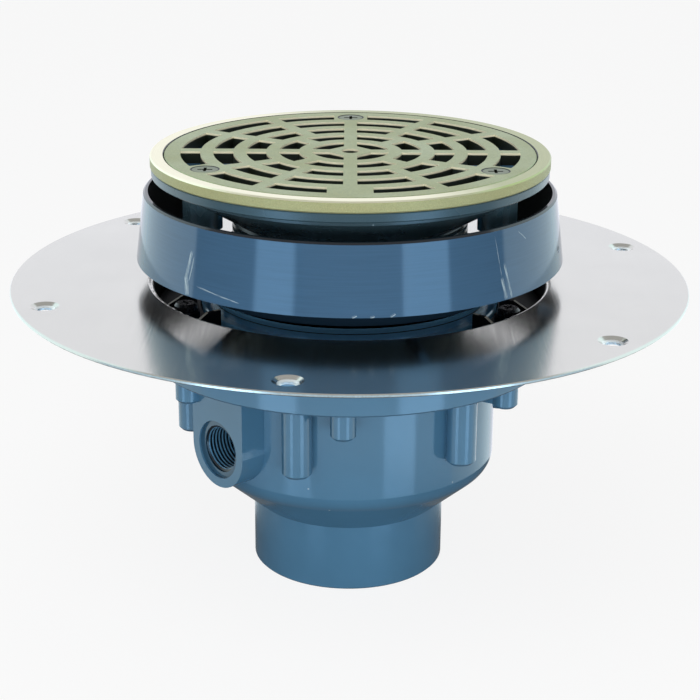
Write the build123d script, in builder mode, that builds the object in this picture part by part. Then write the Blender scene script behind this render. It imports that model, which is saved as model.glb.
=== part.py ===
from build123d import *
import os
from math import cos, radians, sin, tan

# Adjustable floor drain: a plastic body with a drum and a side tapping, a dished
# stainless flange clamped in the drum, a coring sleeve, and a threaded head that
# carries the bronze rim and grate. Millimetres. The origin is the centre of the
# outlet's open end, and +Z points up.

os.makedirs("parts", exist_ok=True)

# Clearances
slide_gap = 0.3
drop_in_gap = 0.3
insert_gap = 0.05
clamp_gap = 0.5
selector_tolerance = 0.01

# Outlet and bowl
outlet_radius = 44.45
outlet_wall = 5.5
outlet_length = 31.0
bowl_wall = 5.5
neck_shoulder = 8.7
bowl_cone_rise = 20.0
bowl_floor_lift = 2.2
bowl_depth = 62.4
shoulder_fillet = 9.0
outlet_edge_chamfer = 0.8

# Shelf, drum and neck of the body
shelf_thickness = 5.0
drum_wall = 3.1
drum_skirt = 9.4
drum_edge_chamfer = 0.8
neck_step_rise = 8.9
neck_lip_wall = 10.2
neck_lip_rise = 5.1
neck_thread_length = 28.4
neck_edge_chamfer = 0.6

# Bosses under the drum, in pairs beside the sheet's holes
pair_count = 6
first_pair = 20.4
pair_half_step = 8.0
long_boss_radius = 6.6
long_boss_stand = 5.7
long_boss_length = 45.5
long_boss_web = 8.0
short_boss_radius = 5.6
short_boss_length = 23.5
short_boss_web = 15.8
short_boss_web_reach = 5.0
short_boss_web_length = 15.0
boss_end_chamfer = 1.4
boss_core_clearance = 2.0

# Side tapping
tapping_azimuth = -138.0
tapping_height = 72.1
tapping_stand = 10.1
tapping_half_width = 17.45
tapping_bore = 10.67
tapping_mouth = 13.2
tapping_mouth_depth = 1.6

# Stainless flange
flange_radius = 152.4
sheet = 1.6
dish_margin = 7.6
dish_depth = 15.0
bend_radius = 1.2
flange_edge_chamfer = 0.4
flange_hole_margin = 12.7
flange_hole_radius = 3.35
dimple_radius = 6.4
dimple_angle = 120.0
dimple_drop = 1.2

# Gasket, clamp ring and its screws
gasket_thickness = 2.0
clamp_base = 3.0
clamp_pad_radius = 6.2
clamp_pad_rise = 7.2
clamp_screw_count = 3
clamp_screw_stand = 13.5
clamp_rib = 1.6
clamp_rib_angle = 10.0
clamp_rib_inner_reach = 9.5
clamp_rib_knee_reach = 3.0
clamp_rib_rise = 9.6
clamp_rib_fall = 5.0
clamp_head_radius = 5.0
clamp_head_rise = 3.6
clamp_head_chamfer = 1.1
clamp_shank_radius = 2.2
clamp_hole_gap = 0.4
clamp_shank_length = 32.0
clamp_recess_width = 1.2
clamp_recess_length = 5.6
clamp_recess_depth = 1.8

# Coring sleeve
sleeve_flare = 3.8
sleeve_overhang = 3.7
sleeve_wall = 2.0
sleeve_clear_of_flange = 11.2
sleeve_height = 30.2
sleeve_lip_chamfer = 0.8
sleeve_hub_reach = 6.5
sleeve_hub_wall = 3.0
sleeve_hub_lift = 3.6
sleeve_hub_floor = 3.0
sleeve_hub_height = 9.5
sleeve_hub_bore_gap = 1.5
sleeve_web = 2.6
sleeve_web_height = 5.0
sleeve_web_count = 6
sleeve_web_start = 50.4

# Adjustable head
barrel_radius = 53.0
barrel_wall = 5.0
barrel_length = 71.0
funnel_rise = 16.0
funnel_lift = 4.0
cup_overlap = 4.0
cup_wall = 3.5
cup_drop = 3.3
head_disc_inset = 0.4
head_disc_thickness = 4.0
head_disc_chamfer = 0.5
head_stand_off = 11.1
head_boss_radius = 7.2
head_boss_length = 20.5
head_boss_web = 8.0

# Rim and grate
rim_wall = 6.05
rim_height = 5.1
rim_chamfer = 0.6
ledge_width = 6.05
ledge_thickness = 1.6
ear_radius = 7.6
grate_radius = 82.55
grate_depth = 5.5
grate_lower_gap = 0.4
grate_edge_chamfer = 0.4
ear_relief_gap = 0.5
slot_margin = 7.15
slot_width = 8.8
slot_pitch = 14.55
slot_ribs = (12, 12, 12, 8)
rib_width = 5.9
centre_slot_count = 4
centre_bar = 5.9
centre_hub = 12.2
centre_hole_radius = 3.9
screw_land = 16.0
plain_land = 19.0

# Grate screws and their inserts
screw_margin = 11.05
screw_count = 3
first_screw = 90.0
screw_head_radius = 6.0
screw_head_angle = 82.0
screw_head_gap = 0.2
screw_head_sink = 0.15
screw_shank_radius = 3.17
screw_shank_gap = 0.25
screw_length = 17.0
screw_recess_width = 1.3
screw_recess_length = 6.4
screw_recess_depth = 1.5
insert_radius = 4.8
insert_length = 10.0
insert_thread_gap = 0.06
insert_hole_extra = 4.0

# Heights, from the outlet's open end upwards
cone_top = outlet_length + bowl_cone_rise
shelf_base = cone_top + bowl_depth
shelf_top = shelf_base + shelf_thickness
neck_step = shelf_top + neck_step_rise
neck_top = neck_step + neck_lip_rise
thread_base = neck_top - neck_thread_length
seat_base = shelf_top + gasket_thickness
seat_top = seat_base + sheet
flange_top = seat_top + dish_depth
flange_base = flange_top - sheet
clamp_top = seat_top + clamp_base
pad_top = clamp_top + clamp_pad_rise
sleeve_base = flange_top + sleeve_clear_of_flange
sleeve_top = sleeve_base + sleeve_height
rim_base = sleeve_top + head_stand_off
rim_top = rim_base + rim_height
ledge_top = rim_base + ledge_thickness
disc_base = rim_base - head_disc_thickness
cup_base = disc_base - cup_drop
funnel_base = cup_base - funnel_rise
barrel_base = funnel_base - barrel_length

# Radii that follow from the barrel, out to the drum
outlet_bore = outlet_radius - outlet_wall
barrel_bore = barrel_radius - barrel_wall
neck_bore = barrel_radius + slide_gap
neck_lip_radius = neck_bore + neck_lip_wall
bowl_bore = neck_bore + neck_shoulder
bowl_radius = bowl_bore + bowl_wall
long_boss_circle = bowl_radius + long_boss_stand
tapping_face = bowl_radius + tapping_stand
seat_hole = bowl_radius + clamp_gap
clamp_screw_circle = bowl_radius + clamp_screw_stand
clamp_rib_inner = clamp_screw_circle - clamp_rib_inner_reach
clamp_rib_knee = clamp_screw_circle - clamp_rib_knee_reach
dish_radius = clamp_screw_circle + dish_margin
dish_outer = dish_radius + sheet
clamp_outer = dish_radius - clamp_gap
drum_bore = dish_outer + drop_in_gap
drum_radius = drum_bore + drum_wall
flange_hole_circle = flange_radius - flange_hole_margin

# Radii that follow from the grate, out to the sleeve
slot_outer_radius = grate_radius - slot_margin
screw_circle = grate_radius - screw_margin
ledge_radius = grate_radius - ledge_width
grate_lower_radius = ledge_radius - grate_lower_gap
rim_bore = grate_radius + drop_in_gap
rim_radius = rim_bore + rim_wall
cup_radius = ledge_radius + cup_overlap
cup_bore = cup_radius - cup_wall
head_disc_radius = rim_radius - head_disc_inset
sleeve_top_radius = head_disc_radius + sleeve_overhang
sleeve_base_radius = sleeve_top_radius + sleeve_flare
sleeve_hub_radius = neck_lip_radius + sleeve_hub_reach
insert_bore = screw_shank_radius + insert_thread_gap
screw_hole = screw_shank_radius + screw_shank_gap


def corner(sketch, x, y):
    """The corner of a flat profile nearest to a point."""
    return sketch.vertices().sort_by_distance((x, y))[0]


def ring_edges(part, radius, height):
    """The round edges of a part with one radius at one height."""
    circles = part.edges().filter_by(GeomType.CIRCLE)
    return circles.filter_by(
        lambda edge: abs(edge.radius - radius) < selector_tolerance
        and abs(edge.arc_center.Z - height) < selector_tolerance
    )


def radial_plane(azimuth):
    """The upright plane through the axis, with local X outwards and local Y up."""
    turn = radians(azimuth)
    return Plane(
        origin=(0, 0, 0),
        x_dir=(cos(turn), sin(turn), 0),
        z_dir=(sin(turn), -cos(turn), 0),
    )


def facing_plane(azimuth, radius, height):
    """The upright plane that faces outwards at a radius, with local Y up."""
    turn = radians(azimuth)
    return Plane(
        origin=(radius * cos(turn), radius * sin(turn), height),
        x_dir=(-sin(turn), cos(turn), 0),
        z_dir=(cos(turn), sin(turn), 0),
    )


def sleeve_mid_radius(height):
    """The middle of the tapered sleeve's wall at a height."""
    share = (height - sleeve_base) / sleeve_height
    outer = sleeve_base_radius + share * (sleeve_top_radius - sleeve_base_radius)
    return outer - sleeve_wall / 2


long_azimuth = first_pair - pair_half_step
short_azimuth = first_pair + pair_half_step
first_clamp_screw = short_azimuth + 360 / pair_count

# Drain body
drum_base = shelf_base - drum_skirt

with BuildPart() as long_boss:
    with BuildSketch(Plane.XY.offset(shelf_base)):
        Circle(long_boss_radius)
    extrude(amount=-long_boss_length)
    chamfer(long_boss.edges().sort_by(Axis.Z)[0], boss_end_chamfer)
    with BuildSketch(Plane.XY.offset(shelf_base)):
        Rectangle(long_boss_circle / 2, long_boss_web, align=(Align.MAX, Align.CENTER))
    extrude(amount=boss_end_chamfer - long_boss_length)

with BuildPart() as short_boss:
    with BuildSketch(Plane.XY.offset(shelf_base)):
        Circle(short_boss_radius)
    extrude(amount=-short_boss_length)
    chamfer(short_boss.edges().sort_by(Axis.Z)[0], boss_end_chamfer)
    with BuildSketch(Plane.XY.offset(shelf_base)):
        Rectangle(clamp_screw_circle / 2, long_boss_web, align=(Align.MAX, Align.CENTER))
    extrude(amount=boss_end_chamfer - short_boss_length)
    with BuildSketch(Plane.XY.offset(shelf_base)):
        with Locations((bowl_radius + short_boss_web_reach - clamp_screw_circle, 0)):
            Rectangle(bowl_radius / 2, short_boss_web, align=(Align.MAX, Align.CENTER))
    extrude(amount=-short_boss_web_length)

with BuildPart() as drain_body:
    with BuildSketch(Plane.XZ) as outside:
        with BuildLine():
            Polyline(
                (0, 0),
                (outlet_radius, 0),
                (outlet_radius, outlet_length),
                (bowl_radius, cone_top),
                (bowl_radius, shelf_base),
                (drum_bore, shelf_base),
                (drum_bore, drum_base),
                (drum_radius, drum_base),
                (drum_radius, flange_base),
                (drum_bore, flange_base),
                (drum_bore, shelf_top),
                (bowl_radius, shelf_top),
                (bowl_radius, neck_step),
                (neck_lip_radius, neck_step),
                (neck_lip_radius, neck_top),
                (0, neck_top),
                close=True,
            )
        make_face()
        fillet(corner(outside, bowl_radius, cone_top), shoulder_fillet)
        chamfer(corner(outside, drum_radius, drum_base), drum_edge_chamfer)
        chamfer(corner(outside, outlet_radius, 0), outlet_edge_chamfer)
        chamfer(corner(outside, drum_bore, flange_base), bend_radius + drop_in_gap)
        chamfer(corner(outside, neck_lip_radius, neck_top), neck_edge_chamfer)
        chamfer(corner(outside, bowl_radius, neck_step), neck_edge_chamfer)
    revolve(axis=Axis.Z)

    # Long and short bosses, each with webs back to the bowl
    with PolarLocations(long_boss_circle, pair_count, long_azimuth):
        add(long_boss.part)
    with PolarLocations(clamp_screw_circle, pair_count, short_azimuth):
        add(short_boss.part)

    # Tapping boss, flat in front and round below
    with BuildSketch(facing_plane(tapping_azimuth, tapping_face, tapping_height)):
        Circle(tapping_half_width)
        Rectangle(
            2 * tapping_half_width,
            shelf_base - tapping_height,
            align=(Align.CENTER, Align.MIN),
        )
    extrude(amount=-tapping_face / 2)

    # Waterway through the neck, the bowl and the outlet
    with BuildSketch(Plane.XZ):
        with BuildLine():
            Polyline(
                (0, 0),
                (outlet_bore, 0),
                (outlet_bore, outlet_length + bowl_floor_lift),
                (bowl_bore, cone_top + bowl_floor_lift),
                (bowl_bore, thread_base - (bowl_bore - neck_bore)),
                (neck_bore, thread_base),
                (neck_bore, neck_top),
                (0, neck_top),
                close=True,
            )
        make_face()
    revolve(axis=Axis.Z, mode=Mode.SUBTRACT)

    # Holes for the clamp screws, from the shelf down
    with BuildSketch(Plane.XY.offset(shelf_top)):
        with PolarLocations(clamp_screw_circle, clamp_screw_count, first_clamp_screw):
            Circle(clamp_shank_radius + insert_gap)
    screw_tip = pad_top - clamp_shank_length
    extrude(amount=screw_tip - boss_core_clearance - shelf_top, mode=Mode.SUBTRACT)

    # Tapping bore with its counterbored mouth
    with Locations(facing_plane(tapping_azimuth, tapping_face, tapping_height)):
        CounterBoreHole(tapping_bore, tapping_mouth, tapping_mouth_depth, tapping_face)

drain_body.part.label = "drain_body"
export_step(drain_body.part, "parts/drain_body.step")

# Stainless flange, dished to a seat inside the drum
with BuildPart() as steel_flange:
    with BuildSketch(Plane.XZ) as pressed:
        with BuildLine():
            Polyline(
                (seat_hole, seat_base),
                (dish_outer, seat_base),
                (dish_outer, flange_base),
                (flange_radius, flange_base),
                (flange_radius, flange_top),
                (dish_radius, flange_top),
                (dish_radius, seat_top),
                (seat_hole, seat_top),
                close=True,
            )
        make_face()
        fillet(corner(pressed, dish_outer, seat_base), bend_radius + sheet)
        fillet(corner(pressed, dish_radius, seat_top), bend_radius)
        fillet(corner(pressed, dish_radius, flange_top), bend_radius + sheet)
        fillet(corner(pressed, dish_outer, flange_base), bend_radius)
        chamfer(corner(pressed, flange_radius, flange_top), flange_edge_chamfer)
        chamfer(corner(pressed, flange_radius, flange_base), flange_edge_chamfer)
    revolve(axis=Axis.Z)

    # Pressed dimples with a hole in each
    dimple_tip = dimple_radius - dimple_drop * tan(radians(dimple_angle / 2))
    with Locations(Plane.XY.offset(flange_base)):
        with PolarLocations(flange_hole_circle, pair_count, first_pair):
            Cone(dimple_tip, dimple_radius, dimple_drop, align=(Align.CENTER, Align.CENTER, Align.MAX))
    with Locations(Plane.XY.offset(flange_top)):
        with PolarLocations(flange_hole_circle, pair_count, first_pair):
            CounterSinkHole(
                flange_hole_radius,
                dimple_radius,
                sheet + dimple_drop,
                dimple_angle,
            )

    # Holes for the clamp screws in the seat
    with BuildSketch(Plane.XY.offset(seat_base)):
        with PolarLocations(clamp_screw_circle, clamp_screw_count, first_clamp_screw):
            Circle(clamp_shank_radius + clamp_hole_gap)
    extrude(amount=sheet, mode=Mode.SUBTRACT)

steel_flange.part.label = "steel_flange"
export_step(steel_flange.part, "parts/steel_flange.step")

# Gasket between the sheet's seat and the body's shelf
with BuildPart() as flange_gasket:
    with BuildSketch(Plane.XY.offset(shelf_top)):
        Circle(dish_outer - bend_radius - sheet)
        Circle(bowl_radius + clamp_gap, mode=Mode.SUBTRACT)
        with PolarLocations(clamp_screw_circle, clamp_screw_count, first_clamp_screw):
            Circle(clamp_shank_radius + clamp_hole_gap, mode=Mode.SUBTRACT)
    extrude(amount=gasket_thickness)

flange_gasket.part.label = "flange_gasket"
export_step(flange_gasket.part, "parts/flange_gasket.step")

# Clamp ring with screw pads and sloping ribs
with BuildPart() as clamp_ring:
    with BuildSketch(Plane.XY.offset(seat_top)):
        Circle(clamp_outer - bend_radius)
        Circle(seat_hole, mode=Mode.SUBTRACT)
    extrude(amount=clamp_base)
    with BuildSketch(Plane.XY.offset(seat_top)):
        with PolarLocations(clamp_screw_circle, clamp_screw_count, first_clamp_screw):
            Circle(clamp_pad_radius)
    extrude(amount=pad_top - seat_top)
    for number in range(clamp_screw_count):
        for side in (-1, 1):
            rib_azimuth = first_clamp_screw + number * 360 / clamp_screw_count + side * clamp_rib_angle
            with BuildSketch(radial_plane(rib_azimuth)):
                with BuildLine():
                    Polyline(
                        (clamp_rib_inner, seat_top),
                        (clamp_outer - bend_radius, seat_top),
                        (clamp_outer - bend_radius, clamp_top + clamp_rib_rise - clamp_rib_fall),
                        (clamp_rib_knee, clamp_top + clamp_rib_rise),
                        (clamp_rib_inner, clamp_top + clamp_rib_rise),
                        close=True,
                    )
                make_face()
            extrude(amount=clamp_rib / 2, both=True)
    with BuildSketch(Plane.XY.offset(seat_top)):
        with PolarLocations(clamp_screw_circle, clamp_screw_count, first_clamp_screw):
            Circle(clamp_shank_radius + clamp_hole_gap)
    extrude(amount=pad_top - seat_top, mode=Mode.SUBTRACT)

clamp_ring.part.label = "clamp_ring"
export_step(clamp_ring.part, "parts/clamp_ring.step")

# Clamp screws, pan heads on the pads
for number in range(clamp_screw_count):
    screw_turn = radians(first_clamp_screw + number * 360 / clamp_screw_count)
    screw_seat = Plane(
        origin=(clamp_screw_circle * cos(screw_turn), clamp_screw_circle * sin(screw_turn), pad_top),
        x_dir=(cos(screw_turn), sin(screw_turn), 0),
        z_dir=(0, 0, 1),
    )
    with BuildPart() as clamp_screw:
        with BuildSketch(screw_seat):
            Circle(clamp_head_radius)
        extrude(amount=clamp_head_rise)
        chamfer(ring_edges(clamp_screw, clamp_head_radius, pad_top + clamp_head_rise), clamp_head_chamfer)
        with BuildSketch(screw_seat):
            Circle(clamp_shank_radius)
        extrude(amount=-clamp_shank_length)
        with BuildSketch(screw_seat.offset(clamp_head_rise)):
            Rectangle(clamp_recess_length, clamp_recess_width)
            Rectangle(clamp_recess_width, clamp_recess_length)
        extrude(amount=-clamp_recess_depth, mode=Mode.SUBTRACT)
    name = f"clamp_screw_{number + 1}"
    clamp_screw.part.label = name
    export_step(clamp_screw.part, f"parts/{name}.step")

# Coring sleeve: tapered wall, hub and webs
hub_base = neck_top + sleeve_hub_lift
hub_bore = barrel_radius + sleeve_hub_bore_gap
hub_top = hub_base + sleeve_hub_height
with BuildPart() as coring_sleeve:
    with BuildSketch(Plane.XZ) as wall:
        with BuildLine():
            Polyline(
                (sleeve_base_radius - sleeve_wall, sleeve_base),
                (sleeve_base_radius, sleeve_base),
                (sleeve_top_radius, sleeve_top),
                (sleeve_top_radius - sleeve_wall, sleeve_top),
                close=True,
            )
        make_face()
        chamfer(corner(wall, sleeve_top_radius, sleeve_top), sleeve_lip_chamfer)
    revolve(axis=Axis.Z)
    with BuildSketch(Plane.XZ):
        with BuildLine():
            Polyline(
                (hub_bore, neck_top),
                (neck_lip_radius - neck_edge_chamfer, neck_top),
                (neck_lip_radius - neck_edge_chamfer, hub_base),
                (sleeve_hub_radius, hub_base),
                (sleeve_hub_radius, hub_top),
                (sleeve_hub_radius - sleeve_hub_wall, hub_top),
                (sleeve_hub_radius - sleeve_hub_wall, hub_base + sleeve_hub_floor),
                (hub_bore, hub_base + sleeve_hub_floor),
                close=True,
            )
        make_face()
    revolve(axis=Axis.Z)
    web_root = sleeve_hub_radius - sleeve_hub_wall / 2
    web_base = hub_top - sleeve_web_height
    web_rise = sleeve_base + sleeve_web_height
    for web in range(sleeve_web_count):
        with BuildSketch(radial_plane(sleeve_web_start + web * 360 / sleeve_web_count)):
            with BuildLine():
                Polyline(
                    (web_root, web_base),
                    (sleeve_mid_radius(sleeve_base), sleeve_base),
                    (sleeve_mid_radius(web_rise), web_rise),
                    (web_root, hub_top),
                    close=True,
                )
            make_face()
        extrude(amount=sleeve_web / 2, both=True)

coring_sleeve.part.label = "coring_sleeve"
export_step(coring_sleeve.part, "parts/coring_sleeve.step")

# Adjustable head: disc, funnel, screw bosses and threaded barrel
funnel_slope = funnel_rise / (cup_radius - barrel_radius)
with BuildPart() as adjustable_head:
    with BuildSketch(Plane.XZ) as head_section:
        with BuildLine():
            Polyline(
                (barrel_bore, barrel_base),
                (barrel_radius, barrel_base),
                (barrel_radius, funnel_base),
                (cup_radius, cup_base),
                (cup_radius, disc_base),
                (head_disc_radius, disc_base),
                (head_disc_radius, rim_base),
                (cup_bore, rim_base),
                (cup_bore, cup_base - cup_wall * funnel_slope + funnel_lift),
                (barrel_bore, funnel_base - barrel_wall * funnel_slope + funnel_lift),
                close=True,
            )
        make_face()
        chamfer(corner(head_section, head_disc_radius, disc_base), head_disc_chamfer)
        chamfer(corner(head_section, head_disc_radius, rim_base), head_disc_chamfer)
    revolve(axis=Axis.Z)
    with BuildSketch(Plane.XY.offset(rim_base)):
        with PolarLocations(screw_circle, screw_count, first_screw):
            Circle(head_boss_radius)
            Rectangle(cup_radius - screw_circle, head_boss_web, align=(Align.MIN, Align.CENTER))
    extrude(amount=-head_boss_length)
    with BuildSketch(Plane.XY.offset(rim_base)):
        with PolarLocations(screw_circle, screw_count, first_screw):
            Circle(insert_radius + insert_gap)
    extrude(amount=-insert_length, mode=Mode.SUBTRACT)
    with BuildSketch(Plane.XY.offset(rim_base)):
        with PolarLocations(screw_circle, screw_count, first_screw):
            Circle(screw_hole)
    extrude(amount=-insert_length - insert_hole_extra, mode=Mode.SUBTRACT)

adjustable_head.part.label = "adjustable_head"
export_step(adjustable_head.part, "parts/adjustable_head.step")

# Top rim with a ledge and three screw ears
with BuildPart() as top_rim:
    with BuildSketch(Plane.XZ) as rim_section:
        with BuildLine():
            Polyline(
                (ledge_radius, rim_base),
                (rim_radius, rim_base),
                (rim_radius, rim_top),
                (rim_bore, rim_top),
                (rim_bore, ledge_top),
                (ledge_radius, ledge_top),
                close=True,
            )
        make_face()
        chamfer(corner(rim_section, rim_radius, rim_top), rim_chamfer)
        chamfer(corner(rim_section, rim_radius, rim_base), rim_chamfer)
        chamfer(corner(rim_section, rim_bore, rim_top), grate_edge_chamfer)
    revolve(axis=Axis.Z)
    with BuildSketch(Plane.XY.offset(rim_base)):
        with PolarLocations(screw_circle, screw_count, first_screw):
            Circle(ear_radius)
            Rectangle(rim_bore - screw_circle, 2 * ear_radius, align=(Align.MIN, Align.CENTER))
            Circle(screw_hole, mode=Mode.SUBTRACT)
    extrude(amount=ledge_thickness)

top_rim.part.label = "top_rim"
export_step(top_rim.part, "parts/top_rim.step")

# Strainer grate
slot_lands = (
    (first_screw, screw_land),
    (first_screw + 360 / screw_count, screw_land),
    (first_screw + 720 / screw_count, screw_land),
    (first_screw + 180, plain_land),
)
with BuildPart() as strainer_grate:
    with BuildSketch(Plane.XY.offset(rim_top)):
        Circle(grate_radius)
    extrude(amount=ledge_top - rim_top)
    with BuildSketch(Plane.XY.offset(ledge_top)):
        Circle(grate_lower_radius)
        with PolarLocations(screw_circle, screw_count, first_screw):
            Circle(ear_radius + ear_relief_gap, mode=Mode.SUBTRACT)
            Rectangle(
                ear_radius,
                2 * (ear_radius + ear_relief_gap),
                align=(Align.MIN, Align.CENTER),
                mode=Mode.SUBTRACT,
            )
    extrude(amount=rim_top - grate_depth - ledge_top)
    chamfer(ring_edges(strainer_grate, grate_radius, rim_top), grate_edge_chamfer)

    # Rings of slots between straight ribs
    for ring, ribs in enumerate(slot_ribs):
        slot_outer = slot_outer_radius - ring * slot_pitch
        with BuildSketch(Plane.XY.offset(rim_top)):
            Circle(slot_outer)
            Circle(slot_outer - slot_width, mode=Mode.SUBTRACT)
            with PolarLocations(0, ribs):
                Rectangle(
                    slot_outer + rib_width,
                    rib_width,
                    align=(Align.MIN, Align.CENTER),
                    mode=Mode.SUBTRACT,
                )
            if ring == 0:
                for land_azimuth, land_width in slot_lands:
                    with PolarLocations(0, 1, land_azimuth):
                        Rectangle(
                            slot_outer + rib_width,
                            land_width,
                            align=(Align.MIN, Align.CENTER),
                            mode=Mode.SUBTRACT,
                        )
        extrude(amount=-grate_depth, mode=Mode.SUBTRACT)

    # Four centre slots round the hub
    with BuildSketch(Plane.XY.offset(rim_top)):
        Circle(slot_outer_radius - len(slot_ribs) * slot_pitch)
        with PolarLocations(0, centre_slot_count):
            Rectangle(
                slot_outer_radius,
                centre_bar,
                align=(Align.MIN, Align.CENTER),
                mode=Mode.SUBTRACT,
            )
        RegularPolygon(centre_hub, centre_slot_count, mode=Mode.SUBTRACT)
    extrude(amount=-grate_depth, mode=Mode.SUBTRACT)

    with Locations(Plane.XY.offset(rim_top)):
        Hole(centre_hole_radius, grate_depth)
        with PolarLocations(screw_circle, screw_count, first_screw):
            CounterSinkHole(
                screw_hole,
                screw_head_radius + screw_head_gap,
                grate_depth,
                screw_head_angle,
            )

strainer_grate.part.label = "strainer_grate"
export_step(strainer_grate.part, "parts/strainer_grate.step")

# Grate screws and the brass inserts they enter
head_cone = (screw_head_radius - screw_shank_radius) / tan(radians(screw_head_angle / 2))
for number in range(screw_count):
    screw_turn = radians(first_screw + number * 360 / screw_count)
    screw_x = screw_circle * cos(screw_turn)
    screw_y = screw_circle * sin(screw_turn)
    screw_axis = Plane(
        origin=(screw_x, screw_y, 0),
        x_dir=(cos(screw_turn), sin(screw_turn), 0),
        z_dir=(sin(screw_turn), -cos(screw_turn), 0),
    )
    screw_top = rim_top - screw_head_sink
    with BuildPart() as grate_screw:
        with BuildSketch(screw_axis):
            with BuildLine():
                Polyline(
                    (0, screw_top - screw_length),
                    (screw_shank_radius, screw_top - screw_length),
                    (screw_shank_radius, screw_top - head_cone),
                    (screw_head_radius, screw_top),
                    (0, screw_top),
                    close=True,
                )
            make_face()
        revolve(axis=Axis((screw_x, screw_y, 0), (0, 0, 1)))
        with BuildSketch(Plane(origin=(screw_x, screw_y, screw_top))):
            Rectangle(screw_recess_length, screw_recess_width)
            Rectangle(screw_recess_width, screw_recess_length)
        extrude(amount=-screw_recess_depth, mode=Mode.SUBTRACT)
    name = f"grate_screw_{number + 1}"
    grate_screw.part.label = name
    export_step(grate_screw.part, f"parts/{name}.step")

    with BuildPart() as head_insert:
        with BuildSketch(Plane(origin=(screw_x, screw_y, rim_base))):
            Circle(insert_radius)
            Circle(insert_bore, mode=Mode.SUBTRACT)
        extrude(amount=-insert_length)
    name = f"head_insert_{number + 1}"
    head_insert.part.label = name
    export_step(head_insert.part, f"parts/{name}.step")
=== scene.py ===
"""Adjustable floor drain: finishes for every piece, the side tapping's thread and a studio."""

import math

import bmesh
import bpy
from bpy.props import FloatProperty, FloatVectorProperty, IntProperty, PointerProperty
from mathutils import Euler, Matrix, Vector


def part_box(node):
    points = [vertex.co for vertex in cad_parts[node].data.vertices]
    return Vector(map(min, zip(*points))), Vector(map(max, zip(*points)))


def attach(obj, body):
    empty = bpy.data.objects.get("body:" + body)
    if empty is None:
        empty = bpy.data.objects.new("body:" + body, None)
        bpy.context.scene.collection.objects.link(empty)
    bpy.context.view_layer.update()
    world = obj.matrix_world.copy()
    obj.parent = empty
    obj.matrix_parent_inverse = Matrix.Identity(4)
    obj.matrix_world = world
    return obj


bl_info = {
    "name": "Floor drain finishes",
    "version": (1, 0, 0),
    "blender": (4, 5, 0),
    "location": "View3D > Sidebar > Drain",
    "description": "Dresses an adjustable floor drain and sets up its studio",
    "category": "Object",
}

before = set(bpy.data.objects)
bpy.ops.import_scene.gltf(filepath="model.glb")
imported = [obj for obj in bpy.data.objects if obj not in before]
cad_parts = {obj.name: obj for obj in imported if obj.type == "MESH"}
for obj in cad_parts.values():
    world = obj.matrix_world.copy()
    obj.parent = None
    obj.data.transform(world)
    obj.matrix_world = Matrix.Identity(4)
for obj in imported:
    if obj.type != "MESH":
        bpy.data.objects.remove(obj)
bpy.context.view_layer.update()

MM = 0.001
BODY_RADIUS, _, BODY_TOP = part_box("drain_body")[1]
GRATE_RADIUS, _, GRATE_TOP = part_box("strainer_grate")[1]
CLAMP_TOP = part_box("clamp_ring")[1][2]
SHEET_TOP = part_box("steel_flange")[1][2]
SLEEVE_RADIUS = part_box("coring_sleeve")[1][0]

CLAMP_SCREWS = [f"clamp_screw_{number}" for number in range(1, 4)]
GRATE_SCREWS = [f"grate_screw_{number}" for number in range(1, 4)]
INSERTS = [f"head_insert_{number}" for number in range(1, 4)]

SCREW_LOW, SCREW_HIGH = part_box(GRATE_SCREWS[0])
SCREW_PLACE = (Vector(SCREW_LOW) + Vector(SCREW_HIGH)) / 2
SCREW_CIRCLE = SCREW_PLACE.xy.length
SCREW_AZIMUTH = math.atan2(SCREW_PLACE.x, -SCREW_PLACE.y)
SCREW_STEP = math.tau / len(GRATE_SCREWS)
SCREW_RADIUS = (SCREW_HIGH[0] - SCREW_LOW[0]) / 2
HOLE_CIRCLE = 139.7 * MM
HOLE_AZIMUTH = math.radians(110.4)
HOLE_STEP = math.tau / 6
HOLE_RADIUS = 3.35 * MM

# Heights, radii and one arc about the drain's axis that the finishes and the painted light and shade
# follow
NECK_BOTTOM = BODY_TOP - 16.4 * MM
GROOVE_HEIGHTS = (BODY_TOP - 5.55 * MM, BODY_TOP - 5.15 * MM)
CHANNEL_RADIUS = BODY_RADIUS - 2.1 * MM
BARREL_RADII = (52.5 * MM, 53.5 * MM)
SLEEVE_INSIDE_RADIUS = SLEEVE_RADIUS - 10.0 * MM
SLEEVE_HUB_RADII = (69.0 * MM, 71.0 * MM)
SLOTTED_RADIUS = GRATE_RADIUS - 2.05 * MM
SLOT_EDGE_BOTTOM = GRATE_TOP - 0.90 * MM
GRATE_JOINT_RADIUS = GRATE_RADIUS - 0.75 * MM
DISH_RADIUS = 90.5 * MM
DISH_START = SHEET_TOP - 1.5 * MM
RIB_RADIUS = 74.5 * MM
RIB_TOP_BOTTOM = CLAMP_TOP - 1.6 * MM
RIM_BRIGHT_ARC = (math.radians(-165.0), math.radians(32.0))

# The side tapping: its counterbore's radius, and spans along its axis from the thread's mouth
COUNTERBORE_RADIUS = 13.4 * MM
COUNTERBORE_SPAN = (-0.3 * MM, 1.3 * MM)
BORE_SPAN = (-24.0 * MM, 0.2 * MM)
THREAD_SUNK = 0.05 * MM
CREST_BAND = 0.22 * MM
STEPS_PER_TURN = 56

# Ends of a mask that is open on one side: no height, radius, angle or slope lies beyond them
OPEN_LOW = -10.0
OPEN_HIGH = 10.0

# Small colours that belong to one spot: a real speck, wear with a painted glint, painted shadow,
# shade, highlights and glints, and the floor's two colours
PALE_SPECK = (0.30, 0.42, 0.50)
# Pale colour of the sleeve's lines of wear, partly a painted glint
WEAR_AND_GLINT = (0.46, 0.58, 0.63)
# Painted shadow on the grate's slot walls below the lit band
SLOT_WALL_SHADOW = (0.010, 0.014, 0.008)
# Painted shadow in the joint between grate and rim
JOINT_SHADOW = (0.004, 0.005, 0.004)
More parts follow.
